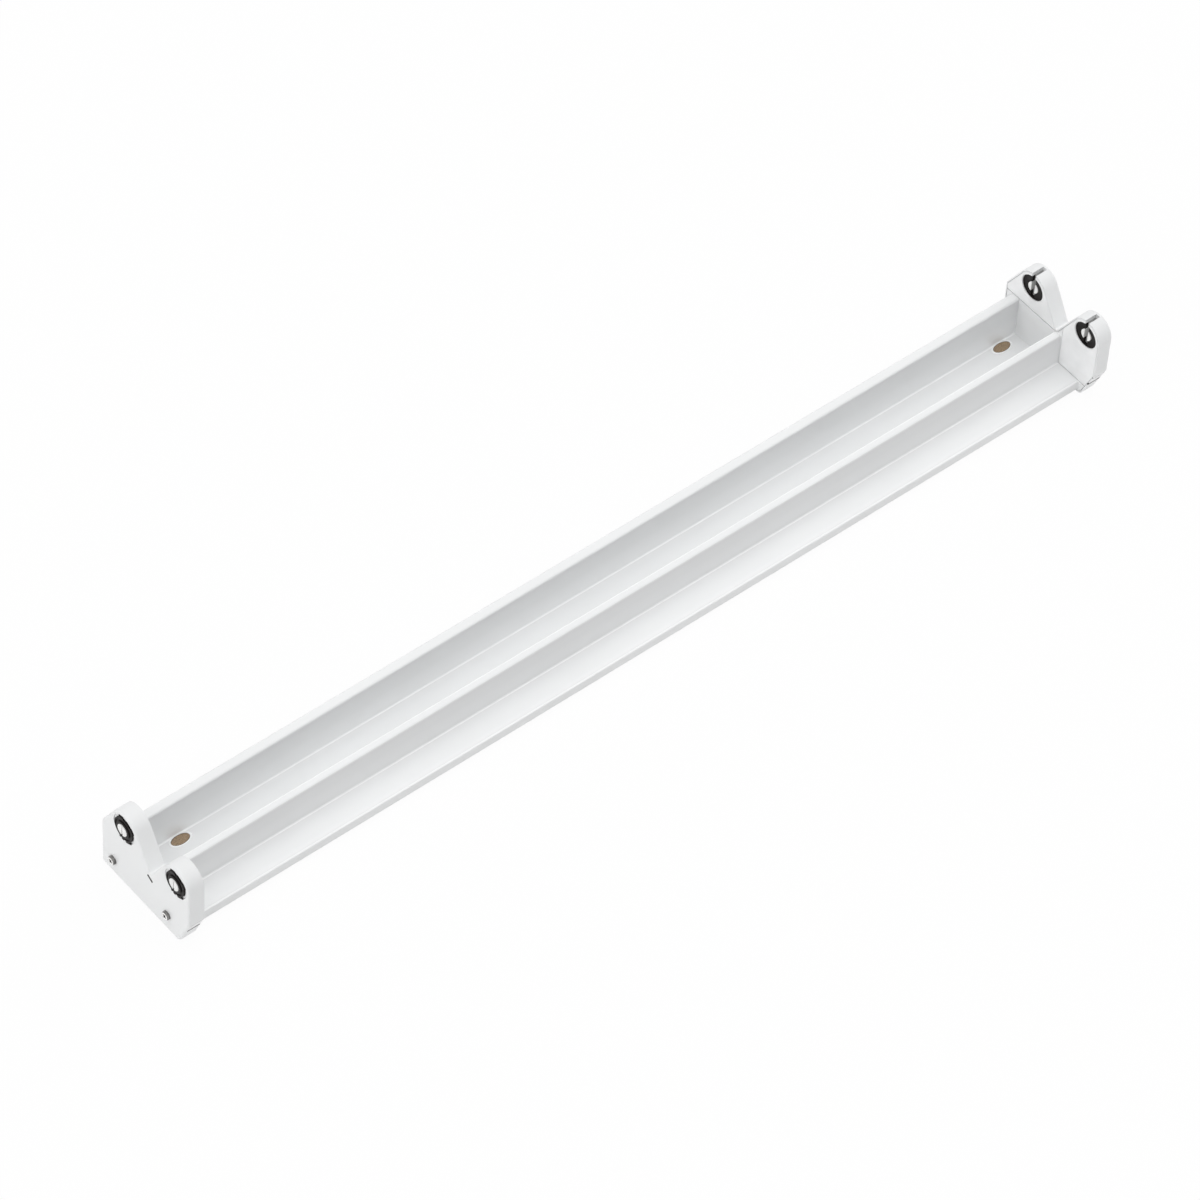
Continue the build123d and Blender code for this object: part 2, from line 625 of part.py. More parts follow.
def make_wire_clips():
    """Clips under the right-hand floor that hold each pair of wires."""
    width = WIRE_PITCH + 2 * (WIRE_R + CLIP_WALL)
    bottom = WIRE_Z - WIRE_R - CLIP_WALL
    with BuildPart() as clips:
        with BuildSketch(Plane.XY.offset(bottom)):
            with Locations((-CLIP_X, WIRES_Y), (CLIP_X, WIRES_Y)):
                Rectangle(CLIP_LENGTH, width)
        extrude(amount=SHELF_UNDER_Z - bottom)
        with BuildSketch(at_x(-FACE_X)):
            with Locations((LEFT_WIRE_Y, WIRE_Z), (RIGHT_WIRE_Y, WIRE_Z)):
                Circle(WIRE_R + WIRE_CLEAR)
        extrude(amount=LAMP_GAP, mode=Mode.SUBTRACT)
    save(clips.part, "wire_clips")


def make_earth_terminal():
    """The earth lug on the near bracket, and its screw."""
    lug_left_y = EARTH_SCREW_Y + LUG_WIDTH / 2
    lug_right_y = EARTH_Y - LUG_BARREL_R
    with BuildPart() as lug:
        with BuildSketch(at_x(-FACE_X)):
            with Locations(((lug_left_y + lug_right_y) / 2, WIRE_Z)):
                Rectangle(lug_left_y - lug_right_y, LUG_WIDTH)
            with Locations((EARTH_SCREW_Y, WIRE_Z)):
                Circle(EARTH_SCREW_R + SCREW_CLEAR, mode=Mode.SUBTRACT)
        extrude(amount=LUG_SHEET)
        with BuildSketch(at_x(-FACE_X + LUG_SHEET)):
            with Locations((EARTH_Y, WIRE_Z)):
                Circle(LUG_BARREL_R)
                Circle(WIRE_R + WIRE_CLEAR, mode=Mode.SUBTRACT)
        extrude(amount=LUG_BARREL_LENGTH)
    save(lug.part, "earth_lug")
    with BuildPart() as screw:
        with BuildSketch(at_x(-FACE_X + LUG_SHEET)):
            with Locations((EARTH_SCREW_Y, WIRE_Z)):
                Circle(EARTH_HEAD_R)
        extrude(amount=EARTH_HEAD_HEIGHT)
        with BuildSketch(at_x(-FACE_X + LUG_SHEET)):
            with Locations((EARTH_SCREW_Y, WIRE_Z)):
                Circle(EARTH_SCREW_R)
        extrude(amount=-EARTH_SCREW_LENGTH)
    save(screw.part, "earth_screw")


os.makedirs("parts", exist_ok=True)
make_tray()
make_entry_plugs()
make_end_caps()
make_end_brackets()
make_cap_screws()
for lamp_side in LAMP_Y:
    make_holder(lamp_side)
    make_contact(lamp_side)
    make_rotor(lamp_side)
    make_core(lamp_side)
    make_back(lamp_side)
make_wiring()
make_terminal_block()
make_wire_clips()
make_earth_terminal()
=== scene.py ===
"""Looks for the twin tube batten light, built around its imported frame. Metres."""
import json
from math import cos, pi, radians, sin

import bpy
from mathutils import Matrix, Vector


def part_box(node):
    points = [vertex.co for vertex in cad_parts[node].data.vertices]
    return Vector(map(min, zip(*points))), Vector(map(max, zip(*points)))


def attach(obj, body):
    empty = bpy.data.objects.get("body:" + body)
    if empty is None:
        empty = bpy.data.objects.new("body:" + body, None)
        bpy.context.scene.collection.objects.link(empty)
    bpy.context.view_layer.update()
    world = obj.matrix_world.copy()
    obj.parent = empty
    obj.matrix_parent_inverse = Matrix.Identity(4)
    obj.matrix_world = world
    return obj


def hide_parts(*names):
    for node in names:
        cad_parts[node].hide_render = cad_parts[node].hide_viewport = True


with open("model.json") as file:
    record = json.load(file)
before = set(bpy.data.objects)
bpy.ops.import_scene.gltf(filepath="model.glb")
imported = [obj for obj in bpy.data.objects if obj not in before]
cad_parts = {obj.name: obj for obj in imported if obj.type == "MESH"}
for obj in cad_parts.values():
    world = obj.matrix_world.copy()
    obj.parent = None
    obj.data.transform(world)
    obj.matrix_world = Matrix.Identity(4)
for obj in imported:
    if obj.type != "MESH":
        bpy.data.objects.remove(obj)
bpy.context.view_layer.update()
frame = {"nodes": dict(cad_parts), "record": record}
nodes = frame["nodes"]
MM = 0.001

# Where the camera stood, fitted to the tray's edges and the near end
CAMERA_PLACE = (-1.4806, -1.5927, 2.6317)
CAMERA_RIGHT = (0.77286, -0.63275, 0.04803)
CAMERA_AHEAD = (0.43277, 0.47021, -0.76916)
CAMERA_LENS = 198.48
SENSOR = 36.0

# Soft light from overhead and along the tray, and the share of its shadow that the floor shows
OVERHEAD_LIGHT = 2.04
ENDS_LIGHT = 1.98
ROUND_LIGHT = 0.14
SHADOW_SHARE = 0.06

# Colours as linear values
ENAMEL = (0.83, 0.838, 0.842)
MOULDING = (0.87, 0.876, 0.88)
BLACK = (0.010, 0.008, 0.0075)
PALE_CORE = (0.86, 0.86, 0.85)
# Painted shade inside the pin slots of rotors and cores
SLOT_PAINTED_SHADE = (0.52, 0.52, 0.515)
ZINC = (0.24, 0.235, 0.228)
# Painted glint on the screw heads
PAINTED_GLINT_WHITE = (0.93, 0.925, 0.91)
TAN = (0.36, 0.26, 0.165)
# Painted shade round the plugs' border
TAN_PAINTED_SHADE = (0.09, 0.07, 0.06)
# Painted light: the highlights along the tray's folds, the light at two walls' feet, and the entries' raised
# edges
PAINTED_LIGHT_WHITE = (0.97, 0.975, 0.978)
# Painted shade at the tops of two tray walls
WALL_PAINTED_SHADE = (0.70, 0.705, 0.71)
# Painted shade, near black, in the caps' slits and the screws' cross recesses
DARK_PAINTED_SHADE = (0.02, 0.018, 0.016)
# Painted shadow line below the rim's bend on the caps
SHADOW_LINE_GREY = (0.40, 0.402, 0.405)
BRONZE = (0.72, 0.47, 0.25)
NYLON = (0.78, 0.77, 0.72)
LIVE = (0.16, 0.06, 0.03)
NEUTRAL = (0.03, 0.10, 0.40)
EARTH = (0.12, 0.38, 0.06)

# Sizes shared with the part's solids
END_X = 305.0 * MM
TRAY_SHEET = 0.7 * MM
PIN_SLOT = 2.7 * MM
ENTRY_SLIT = 2.8 * MM
PIN_SLOT_END = 303.0 * MM
CORE_R = 3.6 * MM
CORE_CLEAR = 0.05 * MM
CORE_SLIT = 1.0 * MM
CORE_SLIT_DEPTH = 0.8 * MM
RING_R = 7.3 * MM
RING_EAR_R = 9.0 * MM
RING_EAR_ANGLES = (75, 145, 240)
RING_TOOTH_ANGLES = (274, 290)
RING_PROUD = 0.6 * MM
EAR_CLEAR = 0.05 * MM
HUB_R = 5.2 * MM
SCREW_R = 1.6 * MM
SCREW_HEAD_R = 2.6 * MM
SCREW_PLACES = ((26.25 * MM, 10.2 * MM), (-18.25 * MM, 11.8 * MM))
PIN_REACH = 7.65 * MM
ENTRY_A = 5.8 * MM
ENTRY_B = 3.1 * MM
ENTRY_CLEAR = 0.05 * MM
PLUG_LIP = 1.5 * MM
PLUG_LIP_THICK = 0.6 * MM

# Folds by Y and Z, where highlights are painted along the tray, and walls by Y, foot, top and shares of
# painted shade at the top and painted light at the foot
FOLDS = ((25.05 * MM, 1.6 * MM), (-3.5 * MM, 28.6 * MM), (-8.8 * MM, 8.3 * MM), (-25.35 * MM, 8.3 * MM))
WALLS = ((25.05 * MM, 4.0 * MM, 28.2 * MM, 0.3, 0.5), (-8.4 * MM, 12.0 * MM, 28.2 * MM, 0.8, 0.25))

# Painted shade on the caps: in the slit between the humps, in the slit in the rim, and a painted shadow line
# below the rim's bend
RELIEF_YZ = (-4.15 * MM, 26.45 * MM)
RELIEF_TILT = 32
RELIEF_HALF_LENGTH = 2.35 * MM
RELIEF_HALF_WIDTH = 0.9 * MM
RIM_GAP_Z = 12.15 * MM
RIM_GAP_HALF = 0.95 * MM
RIM_GAP_END = 303.5 * MM
CAP_FOOT_Y = -27.8 * MM
SHADOW_LINE_Z = 18.9 * MM
SHADOW_LINE_HALF = 0.5 * MM

# Detail that the solids leave out
# Width of the painted highlight along each fold
FOLD_HIGHLIGHT_R = 0.8 * MM
WALL_BAND = 0.9 * MM
EAR_HALF_ANGLE = 14
EAR_ROOT = 0.01 * MM
EAR_TOP_R = 8.3 * MM
EDGE_ROUND = 0.08 * MM
TOOTH_HALF_ANGLE = 4
COLLAR_R = 8.5 * MM
COLLAR_EDGE = 0.35 * MM
GROOVE_OUTER_R = 6.5 * MM
GROOVE_DEPTH = 0.5 * MM
BOSS_R = 8.5 * MM
BOSS_DROP = 0.45 * MM
ROTOR_LIP = 0.7 * MM
ROTOR_DISH = 0.25 * MM
ROTOR_FACE = 2.0 * MM
SLOT_BAND = 0.12 * MM
CROSS_LENGTH = 3.4 * MM
CROSS_WIDTH = 1.0 * MM
CROSS_DEPTH = 0.9 * MM
CROSS_FLOOR = 0.1 * MM
CROSS_TURN = 20
ROLL_R = 0.35 * MM
ROLL_HEIGHT = 0.3 * MM
ROLL_SEAT = 0.05 * MM
PLUG_BORDER = 0.3 * MM
PLUG_CROWN = 0.1 * MM
COVER_EDGE = 0.06 * MM
ROTOR_EDGE = 0.18 * MM
CORE_EDGE = 0.3 * MM
HEAD_DOME = 0.9 * MM
HEAD_DOME_STEPS = 6
HEAD_DOME_PROFILE = 0.55
HEAD_EDGE = 0.05 * MM
CROSS_TAPER = 0.6
SMOOTH_ANGLE = 35
HEAD_SMOOTH_ANGLE = 40
TRIM_SMOOTH_ANGLE = 50

# How far a cutting shape runs past what it cuts, and how squarely a face looks along an axis to be picked
OVERRUN = 1.0 * MM
FACING = 0.9
HEAD_FRONT = 0.75
SLOT_WALL = 0.5

# Points round the turned pieces, and sides of the thin trim's section
ROUND_POINTS = 96
COVER_POINTS = 120
RING_POINTS = 180
CORE_POINTS = 72
HEAD_POINTS = 64
TRIM_SIDES = 12

# The paper that the fixture lies on
FLOOR_SIZE = 24.0
PAPER = (0.86, 0.86, 0.86)


def new_finish(name, color, roughness, metallic=0.0):
    """A material with one shader, and the object's own coordinates."""
    finish = bpy.data.materials.new(name)
    finish.use_nodes = True
    tree = finish.node_tree
    shader = tree.nodes["Principled BSDF"]
    shader.inputs["Base Color"].default_value = (*color, 1)
    shader.inputs["Roughness"].default_value = roughness
    shader.inputs["Metallic"].default_value = metallic
    place = tree.nodes.new("ShaderNodeTexCoord")
    return finish, tree, shader, place.outputs["Object"]


def noise(tree, place, scale, detail=3.0, roughness=0.5, stretch=(1, 1, 1)):
    """Cloudy noise at a scale given per metre."""
    spread = tree.nodes.new("ShaderNodeMapping")
    spread.inputs["Scale"].default_value = stretch
    tree.links.new(place, spread.inputs["Vector"])
    clouds = tree.nodes.new("ShaderNodeTexNoise")
    clouds.inputs["Scale"].default_value = scale
    clouds.inputs["Detail"].default_value = detail
    clouds.inputs["Roughness"].default_value = roughness
    tree.links.new(spread.outputs["Vector"], clouds.inputs["Vector"])
    return clouds.outputs["Fac"]


def vary_color(tree, shader, value, low, high, start=0.3, end=0.7):
    """Base colour between two close tones."""
    ramp = tree.nodes.new("ShaderNodeValToRGB")
    ramp.color_ramp.elements[0].position = start
    ramp.color_ramp.elements[0].color = (*low, 1)
    ramp.color_ramp.elements[1].position = end
    ramp.color_ramp.elements[1].color = (*high, 1)
    tree.links.new(value, ramp.inputs["Fac"])
    tree.links.new(ramp.outputs["Color"], shader.inputs["Base Color"])


def span(tree, value, start, end, low, high):
    """Carry a value from one range over to another."""
    node = tree.nodes.new("ShaderNodeMapRange")
    node.inputs["From Min"].default_value = start
    node.inputs["From Max"].default_value = end
    node.inputs["To Min"].default_value = low
    node.inputs["To Max"].default_value = high
    tree.links.new(value, node.inputs["Value"])
    return node.outputs["Result"]


def vary_roughness(tree, shader, value, low, high, start=0.3, end=0.7):
    """Roughness between two values."""
    tree.links.new(span(tree, value, start, end, low, high), shader.inputs["Roughness"])


def relief(tree, shader, value, strength, depth):
    """Fine relief on the surface."""
    bump = tree.nodes.new("ShaderNodeBump")
    bump.inputs["Strength"].default_value = strength
    bump.inputs["Distance"].default_value = depth
    tree.links.new(value, bump.inputs["Height"])
    tree.links.new(bump.outputs["Normal"], shader.inputs["Normal"])


def math(tree, operation, *values):
    """A math node on sockets and numbers."""
    node = tree.nodes.new("ShaderNodeMath")
    node.operation = operation
    for socket, value in zip(node.inputs, values):
        if isinstance(value, (int, float)):
            socket.default_value = value
        else:
            tree.links.new(value, socket)
    return node.outputs["Value"]


def along(tree, place, direction):
    """How far a place lies along a direction."""
    node = tree.nodes.new("ShaderNodeVectorMath")
    node.operation = "DOT_PRODUCT"
    tree.links.new(place, node.inputs[0])
    node.inputs[1].default_value = direction
    return node.outputs["Value"]


def blend(tree, shader, share, color):
    """Lay one colour over the base colour by a share."""
    mix = tree.nodes.new("ShaderNodeMix")
    mix.data_type = "RGBA"
    tree.links.new(share, mix.inputs["Factor"])
    tree.links.new(shader.inputs["Base Color"].links[0].from_socket, mix.inputs[6])
    mix.inputs[7].default_value = (*color, 1)
    tree.links.new(mix.outputs[2], shader.inputs["Base Color"])


def shade(color, factor):
    """A tone of a colour."""
    return tuple(c * factor for c in color)


def white_enamel(name, color):
    """Powder coat on steel: faint orange peel and faint clouding."""
    finish, tree, shader, place = new_finish(name, color, roughness=0.34)
    vary_color(tree, shader, noise(tree, place, scale=14.0), low=shade(color, 0.985), high=shade(color, 1.01))
    vary_roughness(tree, shader, noise(tree, place, scale=60.0), low=0.30, high=0.38)
    relief(tree, shader, noise(tree, place, scale=650.0, detail=2.0), strength=0.06, depth=0.2 * MM)
    shader.inputs["Coat Weight"].default_value = 0.15
    shader.inputs["Coat Roughness"].default_value = 0.2
    return finish, tree, shader, place


def tray_enamel_painted_light():
    """The tray's coat, with painted highlights along the folds, and on two walls painted light low down
    turning to painted shade at their tops.
    """
    finish, tree, shader, place = white_enamel("tray_enamel_painted_light", ENAMEL)
    y, z = along(tree, place, (0, 1, 0)), along(tree, place, (0, 0, 1))
    for wall_y, foot, top, deep, light in WALLS:
        beside, below = math(tree, "COMPARE", y, wall_y, WALL_BAND), math(tree, "LESS_THAN", z, top)
        wall = math(tree, "MULTIPLY", beside, below)
        # Painted shade towards the top of each wall and painted light near its foot
        painted_shade_share = span(tree, z, start=foot, end=top, low=0.0, high=deep)
        blend(tree, shader, math(tree, "MULTIPLY", wall, painted_shade_share), WALL_PAINTED_SHADE)
        painted_light_share = span(tree, z, start=foot, end=(foot + top) / 2, low=light, high=0.0)
        blend(tree, shader, math(tree, "MULTIPLY", wall, painted_light_share), PAINTED_LIGHT_WHITE)
    for fold_y, fold_z in FOLDS:
        off_y, off_z = math(tree, "SUBTRACT", y, fold_y), math(tree, "SUBTRACT", z, fold_z)
        square = math(tree, "ADD", math(tree, "POWER", off_y, 2.0), math(tree, "POWER", off_z, 2.0))
        # Painted highlight along each fold
        blend(tree, shader, math(tree, "LESS_THAN", square, FOLD_HIGHLIGHT_R ** 2), PAINTED_LIGHT_WHITE)
    return finish


def cap_enamel_painted_shade():
    """The caps' coat, with painted shade in and round the two slits and a painted shadow line across the rim.
    """
    finish, tree, shader, place = white_enamel("cap_enamel_painted_shade", shade(ENAMEL, 0.97))
    tilt = radians(RELIEF_TILT)
    run, rise = Vector((0, cos(tilt), sin(tilt))), Vector((0, -sin(tilt), cos(tilt)))
    middle = Vector((0, *RELIEF_YZ))
    relief_slit_shade = math(
        tree, "MULTIPLY",
        math(tree, "COMPARE", along(tree, place, run), run.dot(middle), RELIEF_HALF_LENGTH),
        math(tree, "COMPARE", along(tree, place, rise), rise.dot(middle), RELIEF_HALF_WIDTH))
    # Painted shade: the relief slit's walls and a band of plate round it go near black
    blend(tree, shader, relief_slit_shade, DARK_PAINTED_SHADE)
    x, y, z = (along(tree, place, axis) for axis in ((1, 0, 0), (0, 1, 0), (0, 0, 1)))
    right_rim = math(
        tree, "MULTIPLY",
        math(tree, "LESS_THAN", y, CAP_FOOT_Y),
        math(tree, "LESS_THAN", math(tree, "ABSOLUTE", x), RIM_GAP_END))
    # Painted shade in the rim's slit, and a painted shadow line below the rim's bend
    for mark_z, half, color in ((RIM_GAP_Z, RIM_GAP_HALF, DARK_PAINTED_SHADE), (SHADOW_LINE_Z, SHADOW_LINE_HALF, SHADOW_LINE_GREY)):
        mark = math(tree, "MULTIPLY", math(tree, "COMPARE", z, mark_z, half), right_rim)
        blend(tree, shader, mark, color)
    return finish


def moulding(name, color, roughness, grain=0.05, shine=0.5):
    """Moulded plastic with a fine spark-eroded grain."""
    finish, tree, shader, place = new_finish(name, color, roughness)
    vary_color(tree, shader, noise(tree, place, scale=90.0), low=shade(color, 0.94), high=shade(color, 1.04))
    vary_roughness(tree, shader, noise(tree, place, scale=300.0), low=roughness * 0.88, high=roughness * 1.12)
    relief(tree, shader, noise(tree, place, scale=2600.0, detail=2.0), strength=grain, depth=0.1 * MM)
    shader.inputs["Specular IOR Level"].default_value = shine
    return finish


def bright_zinc():
    """Zinc-plated screws with turning marks."""
    finish, tree, shader, place = new_finish("bright_zinc", ZINC, roughness=0.26, metallic=1.0)
    vary_color(tree, shader, noise(tree, place, scale=900.0), low=shade(ZINC, 0.45), high=shade(ZINC, 1.35))
    vary_roughness(tree, shader, noise(tree, place, scale=1500.0), low=0.2, high=0.36)
    relief(tree, shader, noise(tree, place, scale=2200.0, stretch=(0.2, 1, 1)), strength=0.08, depth=0.1 * MM)
    return finish


def tan_rubber():
    """Tan rubber with darker specks."""
    finish, tree, shader, place = new_finish("tan_rubber", TAN, roughness=0.78)
    specks = noise(tree, place, scale=1400.0, detail=5.0)
    vary_color(tree, shader, specks, low=shade(TAN, 0.6), high=shade(TAN, 1.2))
    relief(tree, shader, noise(tree, place, scale=1800.0, detail=4.0), strength=0.25, depth=0.2 * MM)
    return finish


def sheet_bronze():
    """Spring bronze strip with faint rolling lines."""
    finish, tree, shader, place = new_finish("sheet_bronze", BRONZE, roughness=0.3, metallic=1.0)
    clouds = noise(tree, place, scale=400.0)
    vary_color(tree, shader, clouds, low=shade(BRONZE, 0.85), high=shade(BRONZE, 1.08))
    relief(tree, shader, noise(tree, place, scale=1800.0, stretch=(0.1, 1, 1)), strength=0.06, depth=0.1 * MM)
    return finish


# Painted shade for the plug's border and sides
plug_painted_shade = moulding("plug_painted_shade", TAN_PAINTED_SHADE, roughness=0.8)
# Painted shade for the screws' cross recesses
recess_painted_shade = moulding("recess_painted_shade", DARK_PAINTED_SHADE, roughness=0.5)
# Painted glint for the screw heads' tops
painted_glint_steel = moulding("painted_glint_steel", PAINTED_GLINT_WHITE, roughness=0.4)
# Painted highlight for the raised edges round the entries
entry_edge_painted_highlight = white_enamel("entry_edge_painted_highlight", PAINTED_LIGHT_WHITE)[0]
# Painted shade for the insides of the pin slots
slot_painted_shade = moulding("slot_painted_shade", SLOT_PAINTED_SHADE, roughness=0.5)
FINISHES = {
    "painted_steel": white_enamel("white_enamel", ENAMEL)[0],
    "screw_steel": bright_zinc(),
    "plug_rubber": tan_rubber(),
    "holder_plastic": moulding("white_moulding", MOULDING, roughness=0.42),
    "rotor_plastic": moulding("black_moulding", BLACK, roughness=0.45, grain=0.12, shine=0.15),
    "core_plastic": moulding("pale_moulding", PALE_CORE, roughness=0.36),
    "contact_bronze": sheet_bronze(),
    "live_insulation": moulding("brown_insulation", LIVE, roughness=0.45),
    "neutral_insulation": moulding("blue_insulation", NEUTRAL, roughness=0.45),
    "earth_insulation": moulding("green_insulation", EARTH, roughness=0.45),
    "block_plastic": moulding("natural_nylon", NYLON, roughness=0.5),
}


def dress_nodes():
    """Every CAD node takes the finish of its material slot."""
    for row in frame["record"]["subparts"]:
        nodes[row["node"]].material_slots[0].material = FINISHES[row["material_slot"]]
    nodes["tray"].material_slots[0].material = tray_enamel_painted_light()
    caps = cap_enamel_painted_shade()
    for end in ("near", "far"):
        nodes[f"{end}_end_cap"].material_slots[0].material = caps


def clear():
    """Leave edit mode and select nothing."""
    if bpy.context.object and bpy.context.object.mode != "OBJECT":
        bpy.ops.object.mode_set(mode="OBJECT")
    bpy.ops.object.select_all(action="DESELECT")


def alone(piece):
    """Select one piece only and make it active."""
    clear()
    piece.select_set(True)
    bpy.context.view_layer.objects.active = piece


def push(x=0, y=0, z=0):
    """Draw the selected faces out by a distance."""
    bpy.ops.mesh.extrude_region_move(TRANSFORM_OT_translate={"value": (x, y, z)})


def paint(piece, index):
    """Give the selected faces one of the piece's finishes."""
    piece.active_material_index = index
    bpy.ops.object.material_slot_assign()


def copy_of(master, name):
    """A copy of a piece with a mesh of its own."""
    piece = master.copy()
    piece.data = master.data.copy()
    piece.name = name
    bpy.context.scene.collection.objects.link(piece)
    return piece


def to_near_end(piece):
    """Mirror a far-end piece to the near end."""
    piece.data.transform(Matrix.Diagonal((-1, 1, 1, 1)))
    piece.data.flip_normals()


def pick_faces(piece, wanted):
    """Select the faces that pass a test on centre and normal, and go to edit mode."""
    alone(piece)
    bpy.ops.object.mode_set(mode="EDIT")
    bpy.ops.mesh.select_mode(type="FACE")
    bpy.ops.mesh.select_all(action="DESELECT")
    bpy.ops.object.mode_set(mode="OBJECT")
    for face in piece.data.polygons:
        face.select = wanted(face.center, face.normal)
    bpy.ops.object.mode_set(mode="EDIT")


def pick_points(piece, wanted):
    """Select the points that pass a test on their place, and go to edit mode."""
    alone(piece)
    bpy.ops.object.mode_set(mode="EDIT")
    bpy.ops.mesh.select_mode(type="VERT")
    bpy.ops.mesh.select_all(action="DESELECT")
    bpy.ops.object.mode_set(mode="OBJECT")
    for point in piece.data.vertices:
        point.select = wanted(point.co)
    bpy.ops.object.mode_set(mode="EDIT")


def rod(name, radius, start, end, vertices=ROUND_POINTS):
    """A round bar along X between two places, with its place in its mesh."""
    clear()
    bpy.ops.mesh.primitive_cylinder_add(
        vertices=vertices, radius=radius, depth=end - start,
        location=((start + end) / 2, 0, 0), rotation=(0, pi / 2, 0))
    piece = bpy.context.object
    piece.name = name
    bpy.ops.object.transform_apply(location=True, rotation=True, scale=True)
    return piece


def bar(name, size, place):
    """A box of a size at a place, with both in its mesh."""
    clear()
    bpy.ops.mesh.primitive_cube_add(size=1, location=place, scale=size)
    piece = bpy.context.object
    piece.name = name
    bpy.ops.object.transform_apply(location=True, rotation=True, scale=True)
    return piece


def cut(piece, tool):
    """Take one shape out of another."""
    alone(piece)
    away = piece.modifiers.new("cut", "BOOLEAN")
    away.operation = "DIFFERENCE"
    away.solver = "EXACT"
    away.object = tool
    bpy.ops.object.modifier_apply(modifier=away.name)
    bpy.data.objects.remove(tool)


def soften(piece, width, segments=2, angle=SMOOTH_ANGLE):
    """Round the sharp edges and smooth the round faces."""
    alone(piece)
    edge = piece.modifiers.new("edge", "BEVEL")
    edge.width = width
    edge.segments = segments
    edge.limit_method = "ANGLE"
    edge.angle_limit = radians(angle)
    edge.use_clamp_overlap = True
    bpy.ops.object.modifier_apply(modifier=edge.name)
    bpy.ops.object.shade_smooth_by_angle(angle=radians(angle))


def at_lampholder(master, name, end, side, body, slot_name, node):
    """A copy of a far-end piece at one of the four lampholders, standing for its CAD node."""
    low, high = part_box(f"{end}_{side}_rotor")
    piece = copy_of(master, f"{end}_{side}_{name}")
    if end == "near":
        to_near_end(piece)
    piece.data.transform(Matrix.Translation((0, (low.y + high.y) / 2, (low.z + high.z) / 2)))
    if not piece.data.materials:
        piece.data.materials.append(FINISHES[slot_name])
    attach(piece, body)
    if node:
        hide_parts(node)


def each_lampholder(master, name, slot_name, turns):
    """The four copies of a lampholder's piece."""
    for end in ("near", "far"):
        for side in ("left", "right"):
            body = f"{end}_{side}_rotor" if turns else "fixture"
            at_lampholder(master, f"{name}_moulded", end, side, body, slot_name, f"{end}_{side}_{name}")
    bpy.data.objects.remove(master)


def make_back_covers():
    """White covers behind the lampholders, with a low boss in the cap's opening round the ring."""
    low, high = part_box("far_left_back_cover")
    radius = (high.y - low.y) / 2
    boss = END_X - BOSS_DROP - high.x
    cover = rod("back_cover", radius, low.x, high.x, vertices=COVER_POINTS)
    pick_faces(cover, lambda c, n: n.x > FACING)
    bpy.ops.mesh.inset(thickness=radius - BOSS_R)
    push(x=boss)
    bpy.ops.mesh.inset(thickness=BOSS_R - RING_R - CORE_CLEAR)
    push(x=-boss)
    bpy.ops.object.mode_set(mode="OBJECT")
    cut(cover, rod("cover_bore", CORE_R + CORE_CLEAR, low.x - OVERRUN, high.x + OVERRUN))
    soften(cover, COVER_EDGE)
    each_lampholder(cover, "back_cover", "holder_plastic", turns=False)


def make_back_rings():
    """Black rings with a raised hub, a shallow groove, and sloping ears and teeth on the cap's plate."""
    low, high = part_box("far_left_back_ring")
    face_x = END_X + RING_PROUD
    under_x = END_X + EAR_CLEAR
    ring = rod("back_ring", RING_R, under_x, face_x, vertices=RING_POINTS)
    pick_faces(ring, lambda c, n: n.x < -FACING)
    for depth in (EAR_ROOT, under_x - EAR_ROOT - low.x):
        push(x=-depth)
    bpy.ops.object.mode_set(mode="OBJECT")
    pick_faces(ring, lambda c, n: n.x > FACING)
    bpy.ops.mesh.inset(thickness=RING_R - GROOVE_OUTER_R)
    push(x=-GROOVE_DEPTH)
    bpy.ops.mesh.inset(thickness=GROOVE_OUTER_R - HUB_R)
    push(x=GROOVE_DEPTH + high.x - face_x)
    bpy.ops.object.mode_set(mode="OBJECT")
    cut(ring, rod("ring_bore", CORE_R + CORE_CLEAR, low.x - OVERRUN, high.x + OVERRUN))
    soften(ring, EDGE_ROUND)
    ears = [(angle, EAR_HALF_ANGLE) for angle in RING_EAR_ANGLES]
    teeth = [(angle, TOOTH_HALF_ANGLE) for angle in RING_TOOTH_ANGLES]
    middle_x = (under_x + face_x) / 2
    layers = ((under_x - EAR_ROOT / 2, middle_x, RING_EAR_R), (middle_x, high.x, EAR_TOP_R))
    for angle, half in ears + teeth:
        out = Vector((cos(radians(angle)), sin(radians(angle))))
        for start, end, reach in layers:
            pick_points(ring, lambda c: (
                start < c.x < end and c.yz.length > RING_R - 2 * EDGE_ROUND
                and c.yz.normalized().dot(out) > cos(radians(half))))
            grow = reach / RING_R
            bpy.ops.transform.resize(value=(1, grow, grow), center_override=(0, 0, 0))
            bpy.ops.object.mode_set(mode="OBJECT")
    alone(ring)
    bpy.ops.object.shade_smooth_by_angle(angle=radians(SMOOTH_ANGLE))
    each_lampholder(ring, "back_ring", "rotor_plastic", turns=False)


